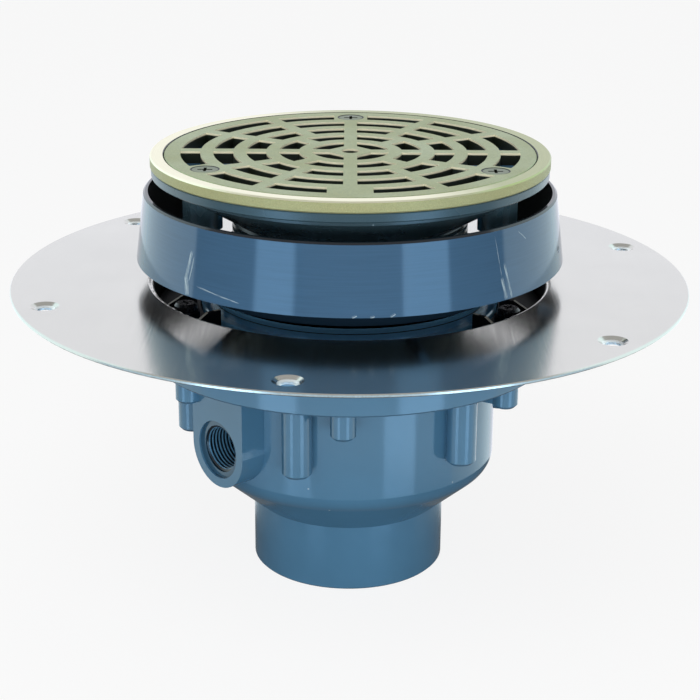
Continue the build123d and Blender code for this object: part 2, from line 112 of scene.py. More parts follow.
# Painted shade round the grate screws' seats
SCREW_SEAT_SHADE = (0.02, 0.025, 0.02)
# Painted glint round the flange's screw holes
HOLE_GLINT = (0.92, 0.92, 0.90)
# Painted highlight on the clamp ring's rib tops
RIB_TOP_HIGHLIGHT = (0.42, 0.42, 0.38)
FLOOR_SEEN = (0.9, 0.9, 0.9)
FLOOR_BOUNCE = (0.17, 0.17, 0.17)

# The studio's floor, lamps and camera
FLOOR_HALF_WIDTH = 8.0
FLOOR_GLOW = 0.86
FILL_LAMP = {"size": (1.6, 0.4), "place": (0.1, -1.5, 0.20), "aim": (0.0, 0.0, 0.09)}
KEY_LAMP = {"size": (1.2, 1.0), "place": (-0.4, -0.85, 1.25), "aim": (0.0, 0.0, 0.15)}
SENSOR_WIDTH = 36.0

# What reflections see round the drain: directions from the front, and rises above the level
RIGHT_PANEL = (math.radians(27.5), math.radians(53.0))
LEFT_PANEL = (math.radians(-50.0), math.radians(-28.5))
SIDE_START = math.radians(89.0)
BACK_START = math.radians(152.0)
WALL_RISE = (-0.41, 0.72)
LOW_BAND_RISE = (-0.405, -0.338)
OVERHEAD_RISE = 0.10

# Lines of wear on the sleeve that carry a painted glint: degrees from the front and height in mm of
# both ends, half width in mm
SLEEVE_STROKES = (
    (-44.2, 167.6, -46.0, 154.5, 1.0),
    (-45.9, 156.5, -44.9, 148.3, 1.5),
    (-43.2, 165.5, -44.7, 154.4, 0.4),
    (41.7, 158.0, 42.9, 148.3, 1.0),
    (40.0, 176.0, 41.7, 158.0, 0.2),
    (42.8, 163.7, 45.0, 148.3, 0.7),
    (-41.9, 153.6, -27.9, 150.4, 0.35),
    (49.1, 175.2, 52.4, 170.6, 0.3),
    (0.6, 148.3, 1.8, 149.3, 0.5),
    (5.0, 148.3, 6.1, 148.9, 0.5),
    (9.9, 148.3, 11.2, 149.6, 0.5),
)


class DrainSizes(bpy.types.PropertyGroup):
    """Sizes of the side tapping and its thread."""

    tapping_azimuth: FloatProperty(
        name="Tapping azimuth",
        description="Direction of the side tapping, from +X towards +Y",
        default=math.radians(-138.0),
        subtype="ANGLE",
        unit="ROTATION",
    )
    tapping_height: FloatProperty(
        name="Tapping height",
        description="Height of the side tapping's axis",
        default=72.1 * MM,
        unit="LENGTH",
    )
    thread_mouth: FloatProperty(
        name="Thread mouth",
        description="Distance from the drain's axis to the thread's outer end",
        default=75.4 * MM,
        unit="LENGTH",
    )
    thread_radius: FloatProperty(
        name="Thread radius",
        description="Radius of the thread's root in the tapping",
        default=10.67 * MM,
        unit="LENGTH",
    )
    thread_depth: FloatProperty(
        name="Thread depth",
        description="Height of a thread ridge above the bore's wall",
        default=1.15 * MM,
        unit="LENGTH",
    )
    thread_pitch: FloatProperty(
        name="Thread pitch",
        description="Advance of the thread in one turn",
        default=1.814 * MM,
        unit="LENGTH",
    )
    thread_turns: IntProperty(
        name="Thread turns",
        description="Number of turns in the tapping",
        default=7,
        min=1,
    )


def colour_property(name, description, default):
    """A colour that a user may change."""
    return FloatVectorProperty(
        name=name, description=description, default=default, subtype="COLOR", min=0.0, max=1.0
    )


class DrainColours(bpy.types.PropertyGroup):
    """Colours of the drain's finishes."""

    body: colour_property("Body", "Moulded plastic of the drain body", (0.070, 0.190, 0.316))
    sleeve: colour_property("Sleeve", "Turned plastic of the coring sleeve", (0.045, 0.109, 0.195))
    head: colour_property("Head", "Moulded plastic of the adjustable head", (0.036, 0.071, 0.092))
    clamp: colour_property("Clamp ring", "Dark plastic of the clamp ring", (0.0020, 0.0022, 0.0024))
    cast_bronze: colour_property(
        "Cast bronze", "Sand-cast nickel bronze of the grate", (0.382, 0.450, 0.240)
    )
    rim_side: colour_property(
        "Rim side", "Cast nickel bronze on the rim's side", (0.44, 0.425, 0.205)
    )
    shaded_arc_bronze: colour_property(
        "Shaded arc bronze", "Machined nickel bronze of the rim's top, painted darker away from its bright arc", (0.37, 0.40, 0.17)
    )
    turned_bronze: colour_property(
        "Turned bronze", "Machined nickel bronze of the rim's top", (0.88, 0.84, 0.61)
    )
    stainless: colour_property("Stainless", "Rolled stainless sheet", (0.57, 0.555, 0.510))
    black_steel: colour_property(
        "Black steel", "Blackened steel of the clamp screws", (0.005, 0.005, 0.006)
    )
    screw_steel: colour_property(
        "Screw steel", "Bright steel of the grate screws", (0.21, 0.25, 0.17)
    )
    brass: colour_property("Brass", "Turned brass of the inserts", (0.70, 0.52, 0.22))
    rubber: colour_property("Rubber", "Gasket rubber", (0.018, 0.018, 0.019))


class StudioSettings(bpy.types.PropertyGroup):
    """Camera and light."""

    camera_distance: FloatProperty(
        name="Camera distance",
        description="Level distance from the drain's axis to the camera",
        default=764.86 * MM,
        unit="LENGTH",
    )
    camera_height: FloatProperty(
        name="Camera height",
        description="Height of the camera above the floor",
        default=371.84 * MM,
        unit="LENGTH",
    )
    camera_pitch: FloatProperty(
        name="Camera pitch",
        description="How far the camera looks down",
        default=math.radians(19.523),
        subtype="ANGLE",
        unit="ROTATION",
    )
    camera_roll: FloatProperty(
        name="Camera roll",
        description="Small turn of the camera about its view",
        default=math.radians(0.385),
        subtype="ANGLE",
        unit="ROTATION",
    )
    camera_yaw: FloatProperty(
        name="Camera yaw",
        description="Small turn of the camera about the upright",
        default=math.radians(-0.029),
        subtype="ANGLE",
        unit="ROTATION",
    )
    lens: FloatProperty(
        name="Lens",
        description="Focal length in millimetres on a 36 mm sensor",
        default=90.207,
    )
    fill_power: FloatProperty(
        name="Fill power",
        description="Power of the front fill lamp",
        default=13.0,
        unit="POWER",
    )
    key_power: FloatProperty(
        name="Key power",
        description="Power of the key lamp, high in front",
        default=7.0,
        unit="POWER",
    )
    room_front: FloatProperty(
        name="Room in front",
        description="Brightness of the room behind the camera, as it is reflected",
        default=0.16,
    )
    room_back: FloatProperty(
        name="Room behind",
        description="Brightness of the white backdrop behind the drain, as it is reflected",
        default=1.2,
    )
    room_side: FloatProperty(
        name="Room at the sides",
        description="Brightness of the pale walls at both sides, as they are reflected",
        default=1.6,
    )
    room_panel: FloatProperty(
        name="Side panels",
        description="Brightness of the two panels beside the camera, as they are reflected",
        default=3.5,
    )
    room_over: FloatProperty(
        name="Room overhead",
        description="Brightness of the ceiling and the front above the camera, as reflected",
        default=0.6,
    )
    room_low: FloatProperty(
        name="Low in front",
        description="Brightness of a low band in front, as the body's walls reflect it",
        default=2.0,
    )
    room_light: FloatProperty(
        name="Room light",
        description="Brightness of the room where it only lights the drain",
        default=0.50,
    )


def link(tree, source, output, target, socket):
    """Joins an output of one node to an input of another."""
    tree.links.new(source.outputs[output], target.inputs[socket])


def add_node(tree, kind, values=None, **settings):
    """Adds a node with its settings and the values of its unlinked inputs."""
    node = tree.nodes.new(kind)
    for name, value in settings.items():
        setattr(node, name, value)
    for socket, value in (values or {}).items():
        node.inputs[socket].default_value = value
    return node


def math_node(tree, operation, first, second=None, third=None):
    """Adds a Math node. An input is a number, or a node with the name of its output."""
    node = add_node(tree, "ShaderNodeMath", operation=operation)
    for index, source in enumerate((first, second, third)):
        if isinstance(source, tuple):
            tree.links.new(source[0].outputs[source[1]], node.inputs[index])
        elif source is not None:
            node.inputs[index].default_value = source
    return node


def start_group(name, inputs, outputs):
    """Starts a shader node group with float inputs and outputs."""
    tree = bpy.data.node_groups.new(name, "ShaderNodeTree")
    for socket, default in inputs:
        made = tree.interface.new_socket(socket, in_out="INPUT", socket_type="NodeSocketFloat")
        made.default_value = default
    for socket in outputs:
        tree.interface.new_socket(socket, in_out="OUTPUT", socket_type="NodeSocketFloat")
    return tree, add_node(tree, "NodeGroupInput"), add_node(tree, "NodeGroupOutput")


def put_out_noise(tree, noise, low, high, leave, output):
    """Stretches a noise to run from zero to one between two levels, and puts it out."""
    spread = add_node(tree, "ShaderNodeMapRange", {"From Min": low, "From Max": high}, clamp=True)
    link(tree, noise, "Fac", spread, "Value")
    link(tree, spread, "Result", leave, output)


def cast_grain_group():
    """Sand-cast grain: fine speckle over a slower mottle."""
    tree, entry, leave = start_group(
        "Cast grain", [("Grain Scale", 1500.0), ("Mottle Scale", 90.0)], ["Speckle", "Mottle"]
    )
    place = add_node(tree, "ShaderNodeTexCoord")
    for scale, detail, output in (("Grain Scale", 4.0, "Speckle"), ("Mottle Scale", 3.0, "Mottle")):
        noise = add_node(tree, "ShaderNodeTexNoise", {"Detail": detail, "Roughness": 0.6})
        link(tree, place, "Object", noise, "Vector")
        link(tree, entry, scale, noise, "Scale")
        put_out_noise(tree, noise, 0.32, 0.68, leave, output)
    return tree


def drawn_lines_group():
    """Fine straight lines along Y, as rolling and handling leave on a sheet."""
    tree, entry, leave = start_group(
        "Drawn lines", [("Across", 900.0), ("Along", 14.0)], ["Lines"]
    )
    place = add_node(tree, "ShaderNodeTexCoord")
    axes = add_node(tree, "ShaderNodeSeparateXYZ")
    link(tree, place, "Object", axes, "Vector")
    across = math_node(tree, "MULTIPLY", (axes, "X"), (entry, "Across"))
    along = math_node(tree, "MULTIPLY", (axes, "Y"), (entry, "Along"))
    joined = add_node(tree, "ShaderNodeCombineXYZ")
    link(tree, across, "Value", joined, "X")
    link(tree, along, "Value", joined, "Y")
    noise = add_node(
        tree, "ShaderNodeTexNoise", {"Scale": 1.0, "Detail": 5.0, "Roughness": 0.62}
    )
    link(tree, joined, "Vector", noise, "Vector")
    put_out_noise(tree, noise, 0.3, 0.7, leave, "Lines")
    return tree


def turned_lines_group():
    """Fine rings round the drain's axis, as turning leaves them on a face or a wall."""
    tree, entry, leave = start_group(
        "Turned lines", [("Rings", 2600.0), ("Drift", 9.0)], ["Lines"]
    )
    place = add_node(tree, "ShaderNodeTexCoord")
    axes = add_node(tree, "ShaderNodeSeparateXYZ")
    link(tree, place, "Object", axes, "Vector")
    flat = add_node(tree, "ShaderNodeCombineXYZ")
    link(tree, axes, "X", flat, "X")
    link(tree, axes, "Y", flat, "Y")
    radius = add_node(tree, "ShaderNodeVectorMath", operation="LENGTH")
    link(tree, flat, "Vector", radius, "Vector")
    ring = math_node(tree, "ADD", (radius, "Value"), (axes, "Z"))
    ring = math_node(tree, "MULTIPLY", (ring, "Value"), (entry, "Rings"))
    azimuth = math_node(tree, "ARCTAN2", (axes, "Y"), (axes, "X"))
    azimuth = math_node(tree, "ABSOLUTE", (azimuth, "Value"))
    azimuth = math_node(tree, "MULTIPLY", (azimuth, "Value"), (entry, "Drift"))
    joined = add_node(tree, "ShaderNodeCombineXYZ")
    link(tree, ring, "Value", joined, "X")
    link(tree, azimuth, "Value", joined, "Y")
    noise = add_node(
        tree, "ShaderNodeTexNoise", {"Scale": 1.0, "Detail": 4.0, "Roughness": 0.6}
    )
    link(tree, joined, "Vector", noise, "Vector")
    put_out_noise(tree, noise, 0.32, 0.68, leave, "Lines")
    return tree


def nicks_group():
    """A few small specks from handling."""
    tree, entry, leave = start_group(
        "Nicks", [("Scale", 130.0), ("Size", 0.09), ("Amount", 0.3)], ["Specks"]
    )
    place = add_node(tree, "ShaderNodeTexCoord")
    cells = add_node(tree, "ShaderNodeTexVoronoi", {"Randomness": 1.0})
    link(tree, place, "Object", cells, "Vector")
    link(tree, entry, "Scale", cells, "Scale")
    near = math_node(tree, "LESS_THAN", (cells, "Distance"), (entry, "Size"))
    chance = add_node(tree, "ShaderNodeSeparateColor")
    link(tree, cells, "Color", chance, "Color")
    chosen = math_node(tree, "LESS_THAN", (chance, "Red"), (entry, "Amount"))
    speck = both(tree, near, chosen)
    link(tree, speck, "Value", leave, "Specks")
    return tree


def about_axis_group():
    """Where a face lies about the drain's axis, and how far it looks outwards and upwards."""
    tree, _, leave = start_group(
        "About axis", [], ["Radius", "Height", "Azimuth", "Outward", "Upward"]
    )
    place = add_node(tree, "ShaderNodeTexCoord")
    axes = add_node(tree, "ShaderNodeSeparateXYZ")
    link(tree, place, "Object", axes, "Vector")
    flat = add_node(tree, "ShaderNodeCombineXYZ")
    link(tree, axes, "X", flat, "X")
    link(tree, axes, "Y", flat, "Y")
    radius = add_node(tree, "ShaderNodeVectorMath", operation="LENGTH")
    link(tree, flat, "Vector", radius, "Vector")
    radial = add_node(tree, "ShaderNodeVectorMath", operation="NORMALIZE")
    link(tree, flat, "Vector", radial, "Vector")
    facing = add_node(tree, "ShaderNodeVectorMath", operation="DOT_PRODUCT")
    tree.links.new(place.outputs["Normal"], facing.inputs[0])
    tree.links.new(radial.outputs["Vector"], facing.inputs[1])
    tilt = add_node(tree, "ShaderNodeSeparateXYZ")
    link(tree, place, "Normal", tilt, "Vector")
    toward = math_node(tree, "MULTIPLY", (axes, "Y"), -1.0)
    azimuth = math_node(tree, "ARCTAN2", (axes, "X"), (toward, "Value"))
    link(tree, radius, "Value", leave, "Radius")
    link(tree, axes, "Z", leave, "Height")
    link(tree, azimuth, "Value", leave, "Azimuth")
    link(tree, facing, "Value", leave, "Outward")
    link(tree, tilt, "Z", leave, "Upward")
    return tree


def stroke_group():
    """One line of wear with a painted glint on a round wall, placed by metres round the wall and up
    it.
    """
    tree, entry, leave = start_group(
        "Stroke",
        [
            ("Wall", 0.1),
            ("Start Round", 0.0),
            ("Start Up", 0.0),
            ("Along Round", 1.0),
            ("Along Up", 0.0),
            ("Length", 0.01),
            ("Width", 0.001),
        ],
        ["Mask"],
    )
    where = place_group(tree, "About axis")
    round_wall = math_node(tree, "MULTIPLY", (where, "Azimuth"), (entry, "Wall"))
    round_wall = math_node(tree, "SUBTRACT", (round_wall, "Value"), (entry, "Start Round"))
    up_wall = math_node(tree, "SUBTRACT", (where, "Height"), (entry, "Start Up"))
    first = math_node(tree, "MULTIPLY", (round_wall, "Value"), (entry, "Along Round"))
    along = math_node(
        tree, "MULTIPLY_ADD", (up_wall, "Value"), (entry, "Along Up"), (first, "Value")
    )
    second = math_node(tree, "MULTIPLY", (round_wall, "Value"), (entry, "Along Up"))
    third = math_node(tree, "MULTIPLY", (up_wall, "Value"), (entry, "Along Round"))
    signed = math_node(tree, "SUBTRACT", (third, "Value"), (second, "Value"))
    across = math_node(tree, "ABSOLUTE", (signed, "Value"))
    across = math_node(tree, "DIVIDE", (across, "Value"), (entry, "Width"))
    share = math_node(tree, "DIVIDE", (along, "Value"), (entry, "Length"))
    middle = math_node(tree, "SUBTRACT", (share, "Value"), 0.5)
    middle = math_node(tree, "ABSOLUTE", (middle, "Value"))
    ends = add_node(tree, "ShaderNodeMapRange", {"From Min": 0.5, "From Max": 0.38}, clamp=True)
    link(tree, middle, "Value", ends, "Value")
    sides = add_node(tree, "ShaderNodeMapRange", {"From Min": 1.0, "From Max": 0.35}, clamp=True)
    link(tree, across, "Value", sides, "Value")
    fine = math_node(tree, "MULTIPLY", (signed, "Value"), 3200.0)
    slow = math_node(tree, "MULTIPLY", (along, "Value"), 170.0)
    joined = add_node(tree, "ShaderNodeCombineXYZ")
    link(tree, fine, "Value", joined, "X")
    link(tree, slow, "Value", joined, "Y")
    wear_and_painted_light = add_node(tree, "ShaderNodeTexNoise", {"Scale": 1.0, "Detail": 3.0})
    link(tree, joined, "Vector", wear_and_painted_light, "Vector")
    broken = add_node(tree, "ShaderNodeMapRange", {"From Min": 0.40, "From Max": 0.60}, clamp=True)
    link(tree, wear_and_painted_light, "Fac", broken, "Value")
    mask = math_node(tree, "MULTIPLY", (ends, "Result"), (sides, "Result"))
    mask = math_node(tree, "MULTIPLY", (mask, "Value"), (broken, "Result"))
    link(tree, mask, "Value", leave, "Mask")
    return tree


def ring_places_group():
    """Distance to the nearest of several places set evenly on a circle about the drain's axis."""
    tree, entry, leave = start_group(
        "Ring places", [("Circle", 0.07), ("First", 0.0), ("Step", 1.0)], ["Distance"]
    )
    where = place_group(tree, "About axis")
    turned = math_node(tree, "SUBTRACT", (where, "Azimuth"), (entry, "First"))
    high = math_node(tree, "MULTIPLY", (entry, "Step"), 0.5)
    low = math_node(tree, "MULTIPLY", (entry, "Step"), -0.5)
    folded = math_node(tree, "WRAP", (turned, "Value"), (high, "Value"), (low, "Value"))
    level = math_node(tree, "COSINE", (folded, "Value"))
    product = math_node(tree, "MULTIPLY", (where, "Radius"), (entry, "Circle"))
    product = math_node(tree, "MULTIPLY", (product, "Value"), (level, "Value"))
    first = math_node(tree, "MULTIPLY", (where, "Radius"), (where, "Radius"))
    second = math_node(tree, "MULTIPLY", (entry, "Circle"), (entry, "Circle"))
    total = math_node(tree, "ADD", (first, "Value"), (second, "Value"))
    squared = math_node(tree, "MULTIPLY_ADD", (product, "Value"), -2.0, (total, "Value"))
    squared = math_node(tree, "MAXIMUM", (squared, "Value"), 0.0)
    distance = math_node(tree, "SQRT", (squared, "Value"))
    link(tree, distance, "Value", leave, "Distance")
    return tree


def screw_thread_group():
    """Height of a coarse right-handed thread round the drain's axis."""
    tree, entry, leave = start_group("Screw thread", [("Pitch", 0.0032)], ["Height"])
    where = place_group(tree, "About axis")
    turns = math_node(tree, "DIVIDE", (where, "Azimuth"), math.tau)
    rise = math_node(tree, "DIVIDE", (where, "Height"), (entry, "Pitch"))
    phase = math_node(tree, "SUBTRACT", (rise, "Value"), (turns, "Value"))
    ridge = math_node(tree, "PINGPONG", (phase, "Value"), 0.5)
    link(tree, ridge, "Value", leave, "Height")
    return tree


GROUP_MAKERS = {
    "Cast grain": cast_grain_group,
    "Drawn lines": drawn_lines_group,
    "Turned lines": turned_lines_group,
    "Nicks": nicks_group,
    "About axis": about_axis_group,
    "Stroke": stroke_group,
    "Ring places": ring_places_group,
    "Screw thread": screw_thread_group,
}


def place_group(tree, name, **values):
    """Places a node group in a material with its own values, and builds it once."""
    group = bpy.data.node_groups.get(name) or GROUP_MAKERS[name]()
    node = add_node(tree, "ShaderNodeGroup", node_tree=group)
    for socket, value in values.items():
        node.inputs[socket.replace("_", " ").title()].default_value = value
    return node


def start_material(name):
    """A new material with one Principled shader."""
    material = bpy.data.materials.new(name)
    material.use_nodes = True
    tree = material.node_tree
    shader = tree.nodes["Principled BSDF"]
    return material, tree, shader


def mix_colour(tree, mask, output, low, high):
    """A colour that runs from low to high with a mask. Each is a colour or another mix."""
    mix = add_node(tree, "ShaderNodeMix", data_type="RGBA")
    tree.links.new(mask.outputs[output], mix.inputs[0])
    for socket, colour in ((6, low), (7, high)):
        if isinstance(colour, bpy.types.Node):
            tree.links.new(colour.outputs[2], mix.inputs[socket])
        else:
            mix.inputs[socket].default_value = (*colour, 1.0)
    return mix


def shaded(colour, factor):
    """A colour made darker or lighter."""
    return tuple(min(1.0, channel * factor) for channel in colour)


def between(tree, source, output, low, high, soft):
    """A mask that is one between two levels, with soft ends."""
    rise = add_node(
        tree, "ShaderNodeMapRange", {"From Min": low - soft, "From Max": low + soft}, clamp=True
    )
    fall = add_node(
        tree, "ShaderNodeMapRange", {"From Min": high + soft, "From Max": high - soft}, clamp=True
    )
    link(tree, source, output, rise, "Value")
    link(tree, source, output, fall, "Value")
    return math_node(tree, "MULTIPLY", (rise, "Result"), (fall, "Result"))


def both(tree, first, second):
    """A mask where two masks hold together."""
    return math_node(tree, "MULTIPLY", (first, "Value"), (second, "Value"))


def colour_shader(tree, shader, mix):
    """Links a mixed colour to the shader."""
    tree.links.new(mix.outputs[2], shader.inputs["Base Color"])


def drive(tree, shader, socket, source, output, low, high):
    """Lets a mask move one of the shader's values."""
    spread = add_node(tree, "ShaderNodeMapRange", {"To Min": low, "To Max": high}, clamp=True)
    link(tree, source, output, spread, "Value")
    link(tree, spread, "Result", shader, socket)


def drive_bump(tree, shader, source, output, distance):
    """Lets a height move the surface's normal."""
    bump = add_node(tree, "ShaderNodeBump", {"Distance": distance})
    link(tree, source, output, bump, "Height")
    link(tree, bump, "Normal", shader, "Normal")


def plastic_tone(tree, colour):
    """The slow mottle and the few pale specks of moulded plastic."""
    grain = place_group(tree, "Cast grain", grain_scale=2200.0, mottle_scale=28.0)
    tone = mix_colour(tree, grain, "Mottle", shaded(colour, 0.95), shaded(colour, 1.05))
    nicks = place_group(tree, "Nicks", scale=110.0, size=0.045, amount=0.22)
    return grain, mix_colour(tree, nicks, "Specks", tone, PALE_SPECK)


def tapping_line(sizes):
    """The tapping's direction, and the point where its thread starts."""
    outward = Vector((math.cos(sizes.tapping_azimuth), math.sin(sizes.tapping_azimuth), 0.0))
    return outward, outward * sizes.thread_mouth + Vector((0.0, 0.0, sizes.tapping_height))


def tapping_distances(tree, sizes):
    """How far a point lies from the tapping's axis, and how far out along it from the mouth."""
    outward, mouth = tapping_line(sizes)
    place = add_node(tree, "ShaderNodeTexCoord")
    offset = add_node(tree, "ShaderNodeVectorMath", {1: mouth}, operation="SUBTRACT")
    link(tree, place, "Object", offset, 0)
    crossed = add_node(tree, "ShaderNodeVectorMath", {1: outward}, operation="CROSS_PRODUCT")
    link(tree, offset, "Vector", crossed, 0)
    distance = add_node(tree, "ShaderNodeVectorMath", operation="LENGTH")
    link(tree, crossed, "Vector", distance, 0)
    along = add_node(tree, "ShaderNodeVectorMath", {1: outward}, operation="DOT_PRODUCT")
    link(tree, offset, "Vector", along, 0)
    return distance, along


def crest_radius(sizes):
    """How far the thread's crests stand from the tapping's axis."""
    return sizes.thread_radius - sizes.thread_depth


def body_plastic(name, colour, sizes):
    """Glossy moulded plastic, with painted shade in the tapping and in the neck's groove, and
    painted light on the neck in the channel.
    """
    material, tree, shader = start_material(name)
    grain, tone = plastic_tone(tree, colour)
    where = place_group(tree, "About axis")
    high = between(tree, where, "Height", NECK_BOTTOM, OPEN_HIGH, 0.6 * MM)
    inner = between(tree, where, "Radius", OPEN_LOW, CHANNEL_RADIUS, 0.4 * MM)
    channel = both(tree, high, inner)
    # Painted light: the neck in the channel is painted much lighter than the body
    tone = mix_colour(tree, channel, "Value", tone, shaded(colour, 1.9))
    # Painted shade: a near black line stands in for the shade in the neck's groove
    groove = between(tree, where, "Height", *GROOVE_HEIGHTS, 0.1 * MM)
    groove = both(tree, groove, channel)
    tone = mix_colour(tree, groove, "Value", tone, shaded(colour, 0.04))
    distance, along = tapping_distances(tree, sizes)
    # Painted shade: the tapping's counterbore is painted darker
    recess = between(tree, distance, "Value", OPEN_LOW, COUNTERBORE_RADIUS, 0.05 * MM)
    sunk = between(tree, along, "Value", *COUNTERBORE_SPAN, 0.1 * MM)
    recess = both(tree, recess, sunk)
    tone = mix_colour(tree, recess, "Value", tone, shaded(colour, 0.55))
    # Painted shade: the bore inside the thread is painted near black
    bore_edge = sizes.thread_radius + 0.15 * MM
    bore = between(tree, distance, "Value", OPEN_LOW, bore_edge, 0.05 * MM)
    deep = between(tree, along, "Value", *BORE_SPAN, 0.1 * MM)
    bore = both(tree, bore, deep)
    colour_shader(tree, shader, mix_colour(tree, bore, "Value", tone, shaded(colour, 0.03)))
    drive(tree, shader, "Roughness", grain, "Mottle", 0.07, 0.11)
    drive_bump(tree, shader, grain, "Speckle", 0.004 * MM)
    return material


def thread_plastic(name, colour, sizes):
    """The tapping's thread: painted light on its crests, a lighter copy of the body's colour, and
    painted shade on its flanks.
    """
    material, tree, shader = start_material(name)
    # Painted light: the crests take a lighter copy of the body's colour
    grain, tone = plastic_tone(tree, shaded(colour, 1.25))
    distance, _ = tapping_distances(tree, sizes)
    # Painted shade: the flanks between the crests are painted near black
    flank_start = crest_radius(sizes) + CREST_BAND
    flank = between(tree, distance, "Value", flank_start, OPEN_HIGH, 0.12 * MM)
    colour_shader(tree, shader, mix_colour(tree, flank, "Value", tone, shaded(colour, 0.05)))
    drive(tree, shader, "Roughness", grain, "Mottle", 0.15, 0.22)
    return material


def head_plastic(name, colour, inside):
    """Moulded plastic with a fine bloom, bluer inside its cup, and a thread on the barrel."""
    material, tree, shader = start_material(name)
    grain, tone = plastic_tone(tree, colour)
    bloom = place_group(tree, "Cast grain", grain_scale=2600.0, mottle_scale=900.0)
    tone = mix_colour(tree, bloom, "Speckle", tone, shaded(colour, 1.22))
    where = place_group(tree, "About axis")
    inward = between(tree, where, "Outward", OPEN_LOW, -0.3, 0.1)
    colour_shader(tree, shader, mix_colour(tree, inward, "Value", tone, inside))
    drive(tree, shader, "Roughness", grain, "Mottle", 0.24, 0.32)
    thread = place_group(tree, "Screw thread", pitch=3.2 * MM)
    barrel = between(tree, where, "Radius", *BARREL_RADII, 0.2 * MM)
    ridge = math_node(tree, "MULTIPLY", (thread, "Height"), (barrel, "Value"))
    drive_bump(tree, shader, ridge, "Value", 2.0 * MM)
    return material


def turned_plastic(name, colour):
    """Glossy plastic with the fine rings of turning, lines of wear with a painted glint, and painted
    shade inside it and on its lip.
    """
    material, tree, shader = start_material(name)
    lines = place_group(tree, "Turned lines", rings=1500.0, drift=3.0)
    tone = mix_colour(tree, lines, "Lines", shaded(colour, 0.94), shaded(colour, 1.06))
    wear_and_painted_light = 0.0
    for start, low, stop, high, width in SLEEVE_STROKES:
        across = math.radians(stop - start) * SLEEVE_RADIUS
        up = (high - low) * MM
        length = math.hypot(across, up)
        stroke = place_group(
            tree,
            "Stroke",
            wall=SLEEVE_RADIUS,
            start_round=math.radians(start) * SLEEVE_RADIUS,
            start_up=low * MM,
            along_round=across / length,
            along_up=up / length,
            length=length,
            width=width * MM,
        )
        wear_and_painted_light = (math_node(tree, "MAXIMUM", wear_and_painted_light, (stroke, "Mask")), "Value")
    # Painted highlight: the lines of wear are painted pale, as glints off scuffs
    marked = mix_colour(tree, *wear_and_painted_light, tone, WEAR_AND_GLINT)
    where = place_group(tree, "About axis")
    inward = between(tree, where, "Outward", OPEN_LOW, -0.5, 0.1)
    deep = between(tree, where, "Radius", OPEN_LOW, SLEEVE_INSIDE_RADIUS, 0.5 * MM)
    inside = math_node(tree, "MAXIMUM", (inward, "Value"), (deep, "Value"))
    hub = between(tree, where, "Radius", *SLEEVE_HUB_RADII, 0.3 * MM)
    # Painted shade: the inside is painted near black, and the hub a little less dark
    dark = mix_colour(tree, hub, "Value", shaded(colour, 0.004), shaded(colour, 0.22))
    tone = mix_colour(tree, inside, "Value", marked, dark)
    # Painted shade: the lip's upward faces outside the inner radius are painted near black
    lip = between(tree, where, "Upward", 0.3, OPEN_HIGH, 0.05)
    outer = between(tree, where, "Radius", SLEEVE_INSIDE_RADIUS, OPEN_HIGH, 0.5 * MM)
    lip = both(tree, lip, outer)
    colour_shader(tree, shader, mix_colour(tree, lip, "Value", tone, shaded(colour, 0.05)))
    rough = math_node(tree, "MULTIPLY_ADD", (inward, "Value"), 0.8, 0.085)
    scuffed = math_node(tree, "MULTIPLY_ADD", wear_and_painted_light, 0.3, (rough, "Value"))
    link(tree, scuffed, "Value", shader, "Roughness")
    drive_bump(tree, shader, lines, "Lines", 0.003 * MM)
    return material


def cast_bronze(name, colour, painted_edge):
    """Sand-cast nickel bronze: a painted highlight on the slots' top edges over painted shadow on
    their walls, and painted shadow at the joint and round the screws.
    """
    material, tree, shader = start_material(name)
    grain = place_group(tree, "Cast grain", grain_scale=1200.0, mottle_scale=24.0)
    warm = (colour[0] * 1.04, colour[1] * 0.93, colour[2] * 0.80)
    cloud = mix_colour(tree, grain, "Mottle", shaded(colour, 1.02), warm)
    tone = mix_colour(tree, grain, "Speckle", cloud, shaded(colour, 0.78))
    where = place_group(tree, "About axis")
    upright = between(tree, where, "Upward", OPEN_LOW, 0.5, 0.05)
    inner = between(tree, where, "Radius", OPEN_LOW, SLOTTED_RADIUS, 0.3 * MM)
    wall = both(tree, upright, inner)
    # Painted light: the top band of each slot wall is painted bright, as lit from the front; below
    # it is a painted shadow
    band = between(tree, where, "Height", SLOT_EDGE_BOTTOM, OPEN_HIGH, 0.15 * MM)
    side = mix_colour(tree, band, "Value", SLOT_WALL_SHADOW, painted_edge)
    tone = mix_colour(tree, wall, "Value", tone, side)
    # Painted shadow: the grate's outer wall in the joint with the rim is painted near black
    outer = between(tree, where, "Radius", GRATE_JOINT_RADIUS, OPEN_HIGH, 0.1 * MM)
    joint = both(tree, upright, outer)
    tone = mix_colour(tree, joint, "Value", tone, JOINT_SHADOW)
    # Painted shade: a ring round each screw's seat is painted dark
    screws = place_group(
        tree, "Ring places", circle=SCREW_CIRCLE, first=SCREW_AZIMUTH, step=SCREW_STEP
    )
    seat = between(tree, screws, "Distance", OPEN_LOW, SCREW_RADIUS + 0.35 * MM, 0.08 * MM)
    colour_shader(tree, shader, mix_colour(tree, seat, "Value", tone, SCREW_SEAT_SHADE))
    drive(tree, shader, "Metallic", wall, "Value", 0.55, 0.0)
    drive(tree, shader, "Roughness", grain, "Mottle", 0.40, 0.50)
    drive_bump(tree, shader, grain, "Speckle", 0.03 * MM)
    return material


